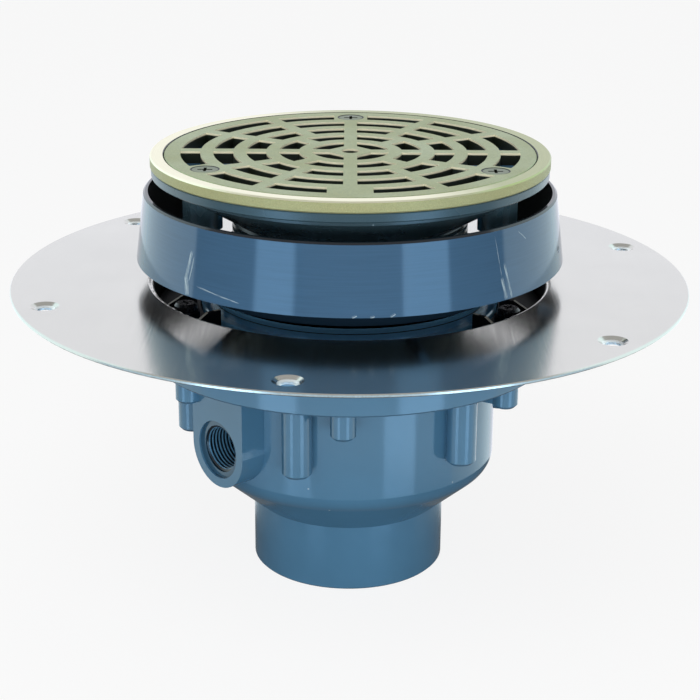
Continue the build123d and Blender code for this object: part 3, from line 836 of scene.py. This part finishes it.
def rim_bronze(name, cast, turned, shaded_arc):
    """Nickel bronze that is turned on top and left cast round it; the top carries a painted
    reflection, lighter on one arc than on the rest.
    """
    material, tree, shader = start_material(name)
    lines = place_group(tree, "Turned lines", rings=2400.0, drift=5.0)
    grain = place_group(tree, "Cast grain", grain_scale=2300.0, mottle_scale=70.0)
    where = place_group(tree, "About axis")
    top = between(tree, where, "Upward", 0.55, OPEN_HIGH, 0.1)
    side = mix_colour(tree, grain, "Speckle", shaded(cast, 0.82), shaded(cast, 1.14))
    # Painted reflection: the turned top is painted lighter on one arc and darker elsewhere
    bright = between(tree, where, "Azimuth", *RIM_BRIGHT_ARC, math.radians(14.0))
    face = mix_colour(tree, lines, "Lines", shaded(turned, 0.90), turned)
    wear_and_painted_light = mix_colour(tree, lines, "Lines", shaded(shaded_arc, 0.88), shaded_arc)
    face = mix_colour(tree, bright, "Value", wear_and_painted_light, face)
    tone = mix_colour(tree, top, "Value", side, face)
    # Painted shadow: the rim's inner wall, in the joint, is painted near black
    inward = between(tree, where, "Outward", OPEN_LOW, -0.5, 0.1)
    colour_shader(tree, shader, mix_colour(tree, inward, "Value", tone, JOINT_SHADOW))
    drive(tree, shader, "Metallic", top, "Value", 0.35, 0.9)
    drive(tree, shader, "Roughness", top, "Value", 0.5, 0.3)
    weak = math_node(tree, "MULTIPLY_ADD", (top, "Value"), -0.9, 1.0)
    height = math_node(tree, "MULTIPLY", (grain, "Speckle"), (weak, "Value"))
    drive_bump(tree, shader, height, "Value", 0.05 * MM)
    return material


def rolled_stainless(name, colour):
    """Rolled stainless sheet with soft lines along Y, painted shade in its dish and a painted glint
    round its holes.
    """
    material, tree, shader = start_material(name)
    lines = place_group(tree, "Drawn lines", across=1500.0, along=18.0)
    grain = place_group(tree, "Cast grain", grain_scale=900.0, mottle_scale=22.0)
    tone = mix_colour(tree, grain, "Mottle", shaded(colour, 0.97), shaded(colour, 1.02))
    where = place_group(tree, "About axis")
    # Painted shade: the dish inside the opening is painted near black
    low = between(tree, where, "Height", OPEN_LOW, DISH_START, 0.5 * MM)
    inner = between(tree, where, "Radius", OPEN_LOW, DISH_RADIUS, 0.2 * MM)
    dish = both(tree, low, inner)
    tone = mix_colour(tree, dish, "Value", tone, shaded(colour, 0.012))
    # Painted glint: a pale ring is painted round each screw hole
    holes = place_group(tree, "Ring places", circle=HOLE_CIRCLE, first=HOLE_AZIMUTH, step=HOLE_STEP)
    lip = between(tree, holes, "Distance", OPEN_LOW, HOLE_RADIUS + 1.0 * MM, 0.2 * MM)
    colour_shader(tree, shader, mix_colour(tree, lip, "Value", tone, HOLE_GLINT))
    shader.inputs["Metallic"].default_value = 1.0
    streak = add_node(tree, "ShaderNodeMapRange", {"To Min": 0.15, "To Max": 0.22}, clamp=True)
    link(tree, lines, "Lines", streak, "Value")
    rough = math_node(tree, "MULTIPLY_ADD", (lip, "Value"), 0.4, (streak, "Result"))
    rough = math_node(tree, "MULTIPLY_ADD", (dish, "Value"), 0.4, (rough, "Value"))
    link(tree, rough, "Value", shader, "Roughness")
    drive_bump(tree, shader, lines, "Lines", 0.003 * MM)
    return material


def clamp_plastic(name, colour):
    """Near black moulding with a painted highlight on the tops of its ribs."""
    material, tree, shader = start_material(name)
    grain = place_group(tree, "Cast grain", grain_scale=1400.0, mottle_scale=160.0)
    tone = mix_colour(tree, grain, "Mottle", shaded(colour, 0.8), shaded(colour, 1.3))
    where = place_group(tree, "About axis")
    # Painted highlight: sloped faces and the flat tops of the ribs are painted pale
    slope = between(tree, where, "Upward", 0.5, 0.97, 0.01)
    flat = between(tree, where, "Upward", 0.97, OPEN_HIGH, 0.01)
    inner = between(tree, where, "Radius", OPEN_LOW, RIB_RADIUS, 0.2 * MM)
    high = between(tree, where, "Height", RIB_TOP_BOTTOM, OPEN_HIGH, 0.4 * MM)
    flat = both(tree, flat, inner)
    flat = both(tree, flat, high)
    tops = math_node(tree, "MAXIMUM", (slope, "Value"), (flat, "Value"))
    colour_shader(tree, shader, mix_colour(tree, tops, "Value", tone, RIB_TOP_HIGHLIGHT))
    shader.inputs["Specular IOR Level"].default_value = 0.12
    drive(tree, shader, "Roughness", grain, "Speckle", 0.4, 0.55)
    drive_bump(tree, shader, grain, "Speckle", 0.01 * MM)
    return material


def screw_metal(name, colour):
    """Dull steel with painted shade in the recess and in a line round each head."""
    material, tree, shader = start_material(name)
    grain = place_group(tree, "Cast grain", grain_scale=2600.0, mottle_scale=260.0)
    tone = mix_colour(tree, grain, "Mottle", shaded(colour, 0.72), shaded(colour, 1.2))
    screws = place_group(
        tree, "Ring places", circle=SCREW_CIRCLE, first=SCREW_AZIMUTH, step=SCREW_STEP
    )
    # Painted shade: a line round the edge of each head and the faces that turn from the top are
    # painted dark
    painted_edge = between(tree, screws, "Distance", SCREW_RADIUS - 0.45 * MM, OPEN_HIGH, 0.1 * MM)
    where = place_group(tree, "About axis")
    recess = between(tree, where, "Upward", OPEN_LOW, 0.8, 0.1)
    dark = math_node(tree, "MAXIMUM", (painted_edge, "Value"), (recess, "Value"))
    colour_shader(tree, shader, mix_colour(tree, dark, "Value", tone, shaded(colour, 0.06)))
    shader.inputs["Metallic"].default_value = 0.35
    shader.inputs["Specular IOR Level"].default_value = 0.2
    drive(tree, shader, "Roughness", grain, "Mottle", 0.35, 0.52)
    return material


def bright_metal(name, colour, roughness):
    """Machined metal with fine grain."""
    material, tree, shader = start_material(name)
    grain = place_group(tree, "Cast grain", grain_scale=2600.0, mottle_scale=300.0)
    tone = mix_colour(tree, grain, "Speckle", shaded(colour, 0.85), shaded(colour, 1.1))
    colour_shader(tree, shader, tone)
    shader.inputs["Metallic"].default_value = 1.0
    drive(tree, shader, "Roughness", grain, "Mottle", roughness, roughness + 0.12)
    drive_bump(tree, shader, grain, "Speckle", 0.02 * MM)
    return material


def dark_finish(name, colour, roughness, bump):
    """A dark rubber or blackened surface."""
    material, tree, shader = start_material(name)
    grain = place_group(tree, "Cast grain", grain_scale=1400.0, mottle_scale=160.0)
    tone = mix_colour(tree, grain, "Mottle", shaded(colour, 0.8), shaded(colour, 1.3))
    colour_shader(tree, shader, tone)
    drive(tree, shader, "Roughness", grain, "Speckle", roughness, roughness + 0.15)
    drive_bump(tree, shader, grain, "Speckle", bump)
    return material


def dress(material, *nodes):
    """Gives CAD nodes a material in each of their slots."""
    for node in nodes:
        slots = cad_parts[node].material_slots
        if not slots:
            raise RuntimeError(f"{node} has no material slot")
        for slot in slots:
            slot.material = material


def new_piece(name, shape, material, body):
    """Makes a piece from a finished bmesh, with outward normals, on its body."""
    bmesh.ops.remove_doubles(shape, verts=shape.verts, dist=0.001 * MM)
    bmesh.ops.recalc_face_normals(shape, faces=shape.faces)
    mesh = bpy.data.meshes.new(name)
    shape.to_mesh(mesh)
    shape.free()
    mesh.materials.append(material)
    piece = bpy.data.objects.new(name, mesh)
    bpy.context.scene.collection.objects.link(piece)
    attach(piece, body)
    return piece


class DRAIN_OT_body(bpy.types.Operator):
    """Finish the drain body in moulded plastic."""

    bl_idname = "drain.body"
    bl_label = "Drain body"

    def execute(self, context):
        colours = context.scene.drain_colours
        material = body_plastic("Body plastic", colours.body, context.scene.drain_sizes)
        dress(material, "drain_body")
        return {"FINISHED"}


class DRAIN_OT_tapping_thread(bpy.types.Operator):
    """Wind the side tapping's thread. Its helix is left-handed."""

    bl_idname = "drain.tapping_thread"
    bl_label = "Tapping thread"

    def execute(self, context):
        sizes = context.scene.drain_sizes
        root = sizes.thread_radius + THREAD_SUNK
        crest = crest_radius(sizes)
        half_root = 0.46 * sizes.thread_pitch
        half_crest = 0.13 * sizes.thread_pitch
        shape = bmesh.new()
        corners = [
            shape.verts.new((root, 0.0, -half_root)),
            shape.verts.new((root, 0.0, half_root)),
            shape.verts.new((crest, 0.0, half_crest)),
            shape.verts.new((crest, 0.0, -half_crest)),
        ]
        profile = shape.faces.new(corners)
        bmesh.ops.spin(
            shape,
            geom=[profile, *profile.edges, *profile.verts],
            cent=(0.0, 0.0, 0.0),
            axis=(0.0, 0.0, 1.0),
            dvec=(0.0, 0.0, -sizes.thread_pitch / STEPS_PER_TURN),
            angle=math.tau * sizes.thread_turns,
            steps=STEPS_PER_TURN * sizes.thread_turns,
            use_duplicate=False,
        )
        outward, mouth = tapping_line(sizes)
        turn = outward.to_track_quat("Z", "Y").to_matrix().to_4x4()
        bmesh.ops.transform(shape, matrix=Matrix.Translation(mouth) @ turn, verts=shape.verts)
        material = thread_plastic("Thread plastic", context.scene.drain_colours.body, sizes)
        new_piece("tapping_thread", shape, material, "base")
        return {"FINISHED"}


class DRAIN_OT_sleeve(bpy.types.Operator):
    """Finish the coring sleeve in turned plastic."""

    bl_idname = "drain.sleeve"
    bl_label = "Coring sleeve"

    def execute(self, context):
        colours = context.scene.drain_colours
        dress(turned_plastic("Sleeve plastic", colours.sleeve), "coring_sleeve")
        return {"FINISHED"}


class DRAIN_OT_head(bpy.types.Operator):
    """Finish the adjustable head and its brass inserts."""

    bl_idname = "drain.head"
    bl_label = "Adjustable head"

    def execute(self, context):
        colours = context.scene.drain_colours
        material = head_plastic("Head plastic", colours.head, shaded(colours.body, 0.90))
        dress(material, "adjustable_head")
        dress(bright_metal("Brass", colours.brass, 0.25), *INSERTS)
        return {"FINISHED"}


class DRAIN_OT_flange(bpy.types.Operator):
    """Finish the stainless flange and the gasket under its seat."""

    bl_idname = "drain.flange"
    bl_label = "Steel flange"

    def execute(self, context):
        colours = context.scene.drain_colours
        dress(rolled_stainless("Rolled stainless", colours.stainless), "steel_flange")
        dress(dark_finish("Gasket rubber", colours.rubber, 0.7, 0.05 * MM), "flange_gasket")
        return {"FINISHED"}


class DRAIN_OT_clamp(bpy.types.Operator):
    """Finish the clamp ring and its screws."""

    bl_idname = "drain.clamp"
    bl_label = "Clamp ring and screws"

    def execute(self, context):
        colours = context.scene.drain_colours
        dress(clamp_plastic("Clamp plastic", colours.clamp), "clamp_ring")
        dress(dark_finish("Black steel", colours.black_steel, 0.2, 0.01 * MM), *CLAMP_SCREWS)
        return {"FINISHED"}


class DRAIN_OT_rim(bpy.types.Operator):
    """Finish the top rim in nickel bronze."""

    bl_idname = "drain.rim"
    bl_label = "Top rim"

    def execute(self, context):
        colours = context.scene.drain_colours
        material = rim_bronze(
            "Rim bronze", colours.rim_side, colours.turned_bronze, colours.shaded_arc_bronze
        )
        dress(material, "top_rim")
        return {"FINISHED"}


class DRAIN_OT_grate(bpy.types.Operator):
    """Finish the strainer grate and its screws."""

    bl_idname = "drain.grate"
    bl_label = "Strainer grate and screws"

    def execute(self, context):
        colours = context.scene.drain_colours
        # The painted highlight on the slots' edges is a lighter copy of the turned bronze
        painted_edge = shaded(colours.turned_bronze, 1.08)
        dress(cast_bronze("Grate bronze", colours.cast_bronze, painted_edge), "strainer_grate")
        dress(screw_metal("Screw steel", colours.screw_steel), *GRATE_SCREWS)
        return {"FINISHED"}


def mix_light(tree, mask, output, low, high):
    """Runs from one light to another with a mask."""
    mix = add_node(tree, "ShaderNodeMixShader")
    link(tree, mask, output, mix, "Fac")
    tree.links.new(low.outputs[0], mix.inputs[1])
    tree.links.new(high.outputs[0], mix.inputs[2])
    return mix


def studio_world(context):
    """A white room to the camera.

    Reflections see a dim front with two panels and a low band of light, pale sides, a white back
    and a brighter ceiling.
    """
    studio = context.scene.drain_studio
    world = bpy.data.worlds.new("Studio")
    world.use_nodes = True
    tree = world.node_tree
    tree.nodes.clear()
    place = add_node(tree, "ShaderNodeTexCoord")
    axes = add_node(tree, "ShaderNodeSeparateXYZ")
    link(tree, place, "Generated", axes, "Vector")
    toward = math_node(tree, "MULTIPLY", (axes, "Y"), -1.0)
    azimuth = math_node(tree, "ARCTAN2", (axes, "X"), (toward, "Value"))
    right = between(tree, azimuth, "Value", *RIGHT_PANEL, 0.012)
    left = between(tree, azimuth, "Value", *LEFT_PANEL, 0.02)
    panels = math_node(tree, "ADD", (right, "Value"), (left, "Value"))
    level = between(tree, axes, "Z", *WALL_RISE, 0.012)
    band = between(tree, axes, "Z", *LOW_BAND_RISE, 0.006)
    turned = math_node(tree, "ABSOLUTE", (azimuth, "Value"))
    ahead = between(tree, turned, "Value", OPEN_LOW, SIDE_START, 0.02)
    band = both(tree, band, ahead)
    sides = between(tree, turned, "Value", SIDE_START, OPEN_HIGH, 0.01)
    back = between(tree, turned, "Value", BACK_START, OPEN_HIGH, 0.12)

    lights = {}
    for name, strength, colour in (
        ("front", studio.room_front, (0.92, 0.98, 1.0)),
        ("panel", studio.room_panel, (0.38, 0.67, 1.0)),
        ("over", studio.room_over, (0.97, 0.99, 1.0)),
        ("side", studio.room_side, (0.80, 0.97, 1.02)),
        ("back", studio.room_back, (0.96, 0.985, 1.07)),
        ("plain", studio.room_light, (1.0, 1.0, 1.0)),
        ("white", 1.0, (1.0, 1.0, 1.0)),
    ):
        lights[name] = add_node(tree, "ShaderNodeBackground", {"Strength": strength})
        lights[name].inputs["Color"].default_value = (*colour, 1.0)
    rays = add_node(tree, "ShaderNodeLightPath")
    over = between(tree, axes, "Z", OVERHEAD_RISE, OPEN_HIGH, 0.05)
    shown = mix_light(tree, over, "Value", lights["front"], lights["over"])
    for mask, light in ((panels, "panel"), (sides, "side"), (back, "back")):
        mask = both(tree, mask, level)
        shown = mix_light(tree, mask, "Value", shown, lights[light])
    low = add_node(tree, "ShaderNodeBackground", {"Color": (0.56, 0.80, 1.0, 1.0)})
    strength = math_node(tree, "MULTIPLY", (band, "Value"), studio.room_low)
    link(tree, strength, "Value", low, "Strength")
    total = add_node(tree, "ShaderNodeAddShader")
    tree.links.new(shown.outputs[0], total.inputs[0])
    tree.links.new(low.outputs[0], total.inputs[1])
    shown = mix_light(tree, rays, "Is Glossy Ray", lights["plain"], total)
    shown = mix_light(tree, rays, "Is Camera Ray", shown, lights["white"])
    leave = add_node(tree, "ShaderNodeOutputWorld")
    tree.links.new(shown.outputs[0], leave.inputs["Surface"])
    context.scene.world = world


def soft_lamp(name, power, size, place, aim):
    """A large soft lamp that doesn't show in reflections."""
    lamp = bpy.data.lights.new(name, "AREA")
    lamp.energy = power
    lamp.shape = "RECTANGLE"
    lamp.size, lamp.size_y = size
    holder = bpy.data.objects.new(name, lamp)
    holder.location = place
    holder.rotation_euler = (Vector(aim) - Vector(place)).to_track_quat("-Z", "Y").to_euler()
    holder.visible_glossy = False
    bpy.context.scene.collection.objects.link(holder)


def studio_floor(context):
    """A pale floor that glows to the camera, throws back little light and shows in no reflection."""
    shape = bmesh.new()
    bmesh.ops.create_grid(shape, x_segments=1, y_segments=1, size=FLOOR_HALF_WIDTH)
    mesh = bpy.data.meshes.new("floor")
    shape.to_mesh(mesh)
    shape.free()
    floor = bpy.data.objects.new("floor", mesh)
    context.scene.collection.objects.link(floor)
    material, tree, shader = start_material("Pale floor")
    shader.inputs["Roughness"].default_value = 0.8
    rays = add_node(tree, "ShaderNodeLightPath")
    pale = mix_colour(tree, rays, "Is Camera Ray", FLOOR_BOUNCE, FLOOR_SEEN)
    colour_shader(tree, shader, pale)
    glow = add_node(tree, "ShaderNodeEmission", {"Strength": 1.0})
    share = math_node(tree, "MULTIPLY", (rays, "Is Camera Ray"), FLOOR_GLOW)
    mix = mix_light(tree, share, "Value", shader, glow)
    tree.links.new(mix.outputs[0], tree.nodes["Material Output"].inputs["Surface"])
    mesh.materials.append(material)
    floor.visible_glossy = False


def studio_camera(context):
    """The camera, in front of the drain and looking down on it."""
    studio = context.scene.drain_studio
    lens = bpy.data.cameras.new("camera")
    lens.sensor_width = SENSOR_WIDTH
    lens.lens = studio.lens
    lens.clip_start = 10.0 * MM
    camera = bpy.data.objects.new("camera", lens)
    context.scene.collection.objects.link(camera)
    level = math.pi / 2 - studio.camera_pitch
    turn = Euler((0.0, 0.0, studio.camera_yaw)).to_matrix()
    turn = turn @ Euler((level, 0.0, 0.0)).to_matrix()
    turn = turn @ Euler((0.0, 0.0, studio.camera_roll)).to_matrix()
    camera.rotation_euler = turn.to_euler()
    camera.location = (0.0, -studio.camera_distance, studio.camera_height)
    context.scene.camera = camera
    context.scene.view_settings.view_transform = "Standard"


class DRAIN_OT_stage(bpy.types.Operator):
    """Set up the floor, the camera and the light."""

    bl_idname = "drain.stage"
    bl_label = "Studio"

    def execute(self, context):
        studio = context.scene.drain_studio
        studio_floor(context)
        studio_world(context)
        soft_lamp("fill", studio.fill_power, **FILL_LAMP)
        soft_lamp("key", studio.key_power, **KEY_LAMP)
        studio_camera(context)
        return {"FINISHED"}


class DRAIN_PT_panel(bpy.types.Panel):
    """Lists the drain's pieces and settings."""

    bl_idname = "DRAIN_PT_panel"
    bl_label = "Floor drain"
    bl_space_type = "VIEW_3D"
    bl_region_type = "UI"
    bl_category = "Drain"

    def draw(self, context):
        for operator in OPERATORS:
            self.layout.operator(operator.bl_idname)
        for name in ("drain_sizes", "drain_colours", "drain_studio"):
            group = getattr(context.scene, name)
            for key in group.bl_rna.properties.keys():
                if key not in {"rna_type", "name"}:
                    self.layout.prop(group, key)


OPERATORS = (
    DRAIN_OT_body,
    DRAIN_OT_tapping_thread,
    DRAIN_OT_sleeve,
    DRAIN_OT_head,
    DRAIN_OT_flange,
    DRAIN_OT_clamp,
    DRAIN_OT_rim,
    DRAIN_OT_grate,
    DRAIN_OT_stage,
)
CLASSES = (DrainSizes, DrainColours, StudioSettings, *OPERATORS, DRAIN_PT_panel)


def register():
    """Registers the classes and the settings on the scene."""
    for item in CLASSES:
        bpy.utils.register_class(item)
    bpy.types.Scene.drain_sizes = PointerProperty(type=DrainSizes)
    bpy.types.Scene.drain_colours = PointerProperty(type=DrainColours)
    bpy.types.Scene.drain_studio = PointerProperty(type=StudioSettings)


def unregister():
    """Removes the settings and the classes."""
    del bpy.types.Scene.drain_studio
    del bpy.types.Scene.drain_colours
    del bpy.types.Scene.drain_sizes
    for item in reversed(CLASSES):
        bpy.utils.unregister_class(item)


def main():
    """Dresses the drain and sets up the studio."""
    register()
    bpy.ops.drain.body()
    bpy.ops.drain.tapping_thread()
    bpy.ops.drain.sleeve()
    bpy.ops.drain.head()
    bpy.ops.drain.flange()
    bpy.ops.drain.clamp()
    bpy.ops.drain.rim()
    bpy.ops.drain.grate()
    bpy.ops.drain.stage()


if __name__ == "__main__":
    main()
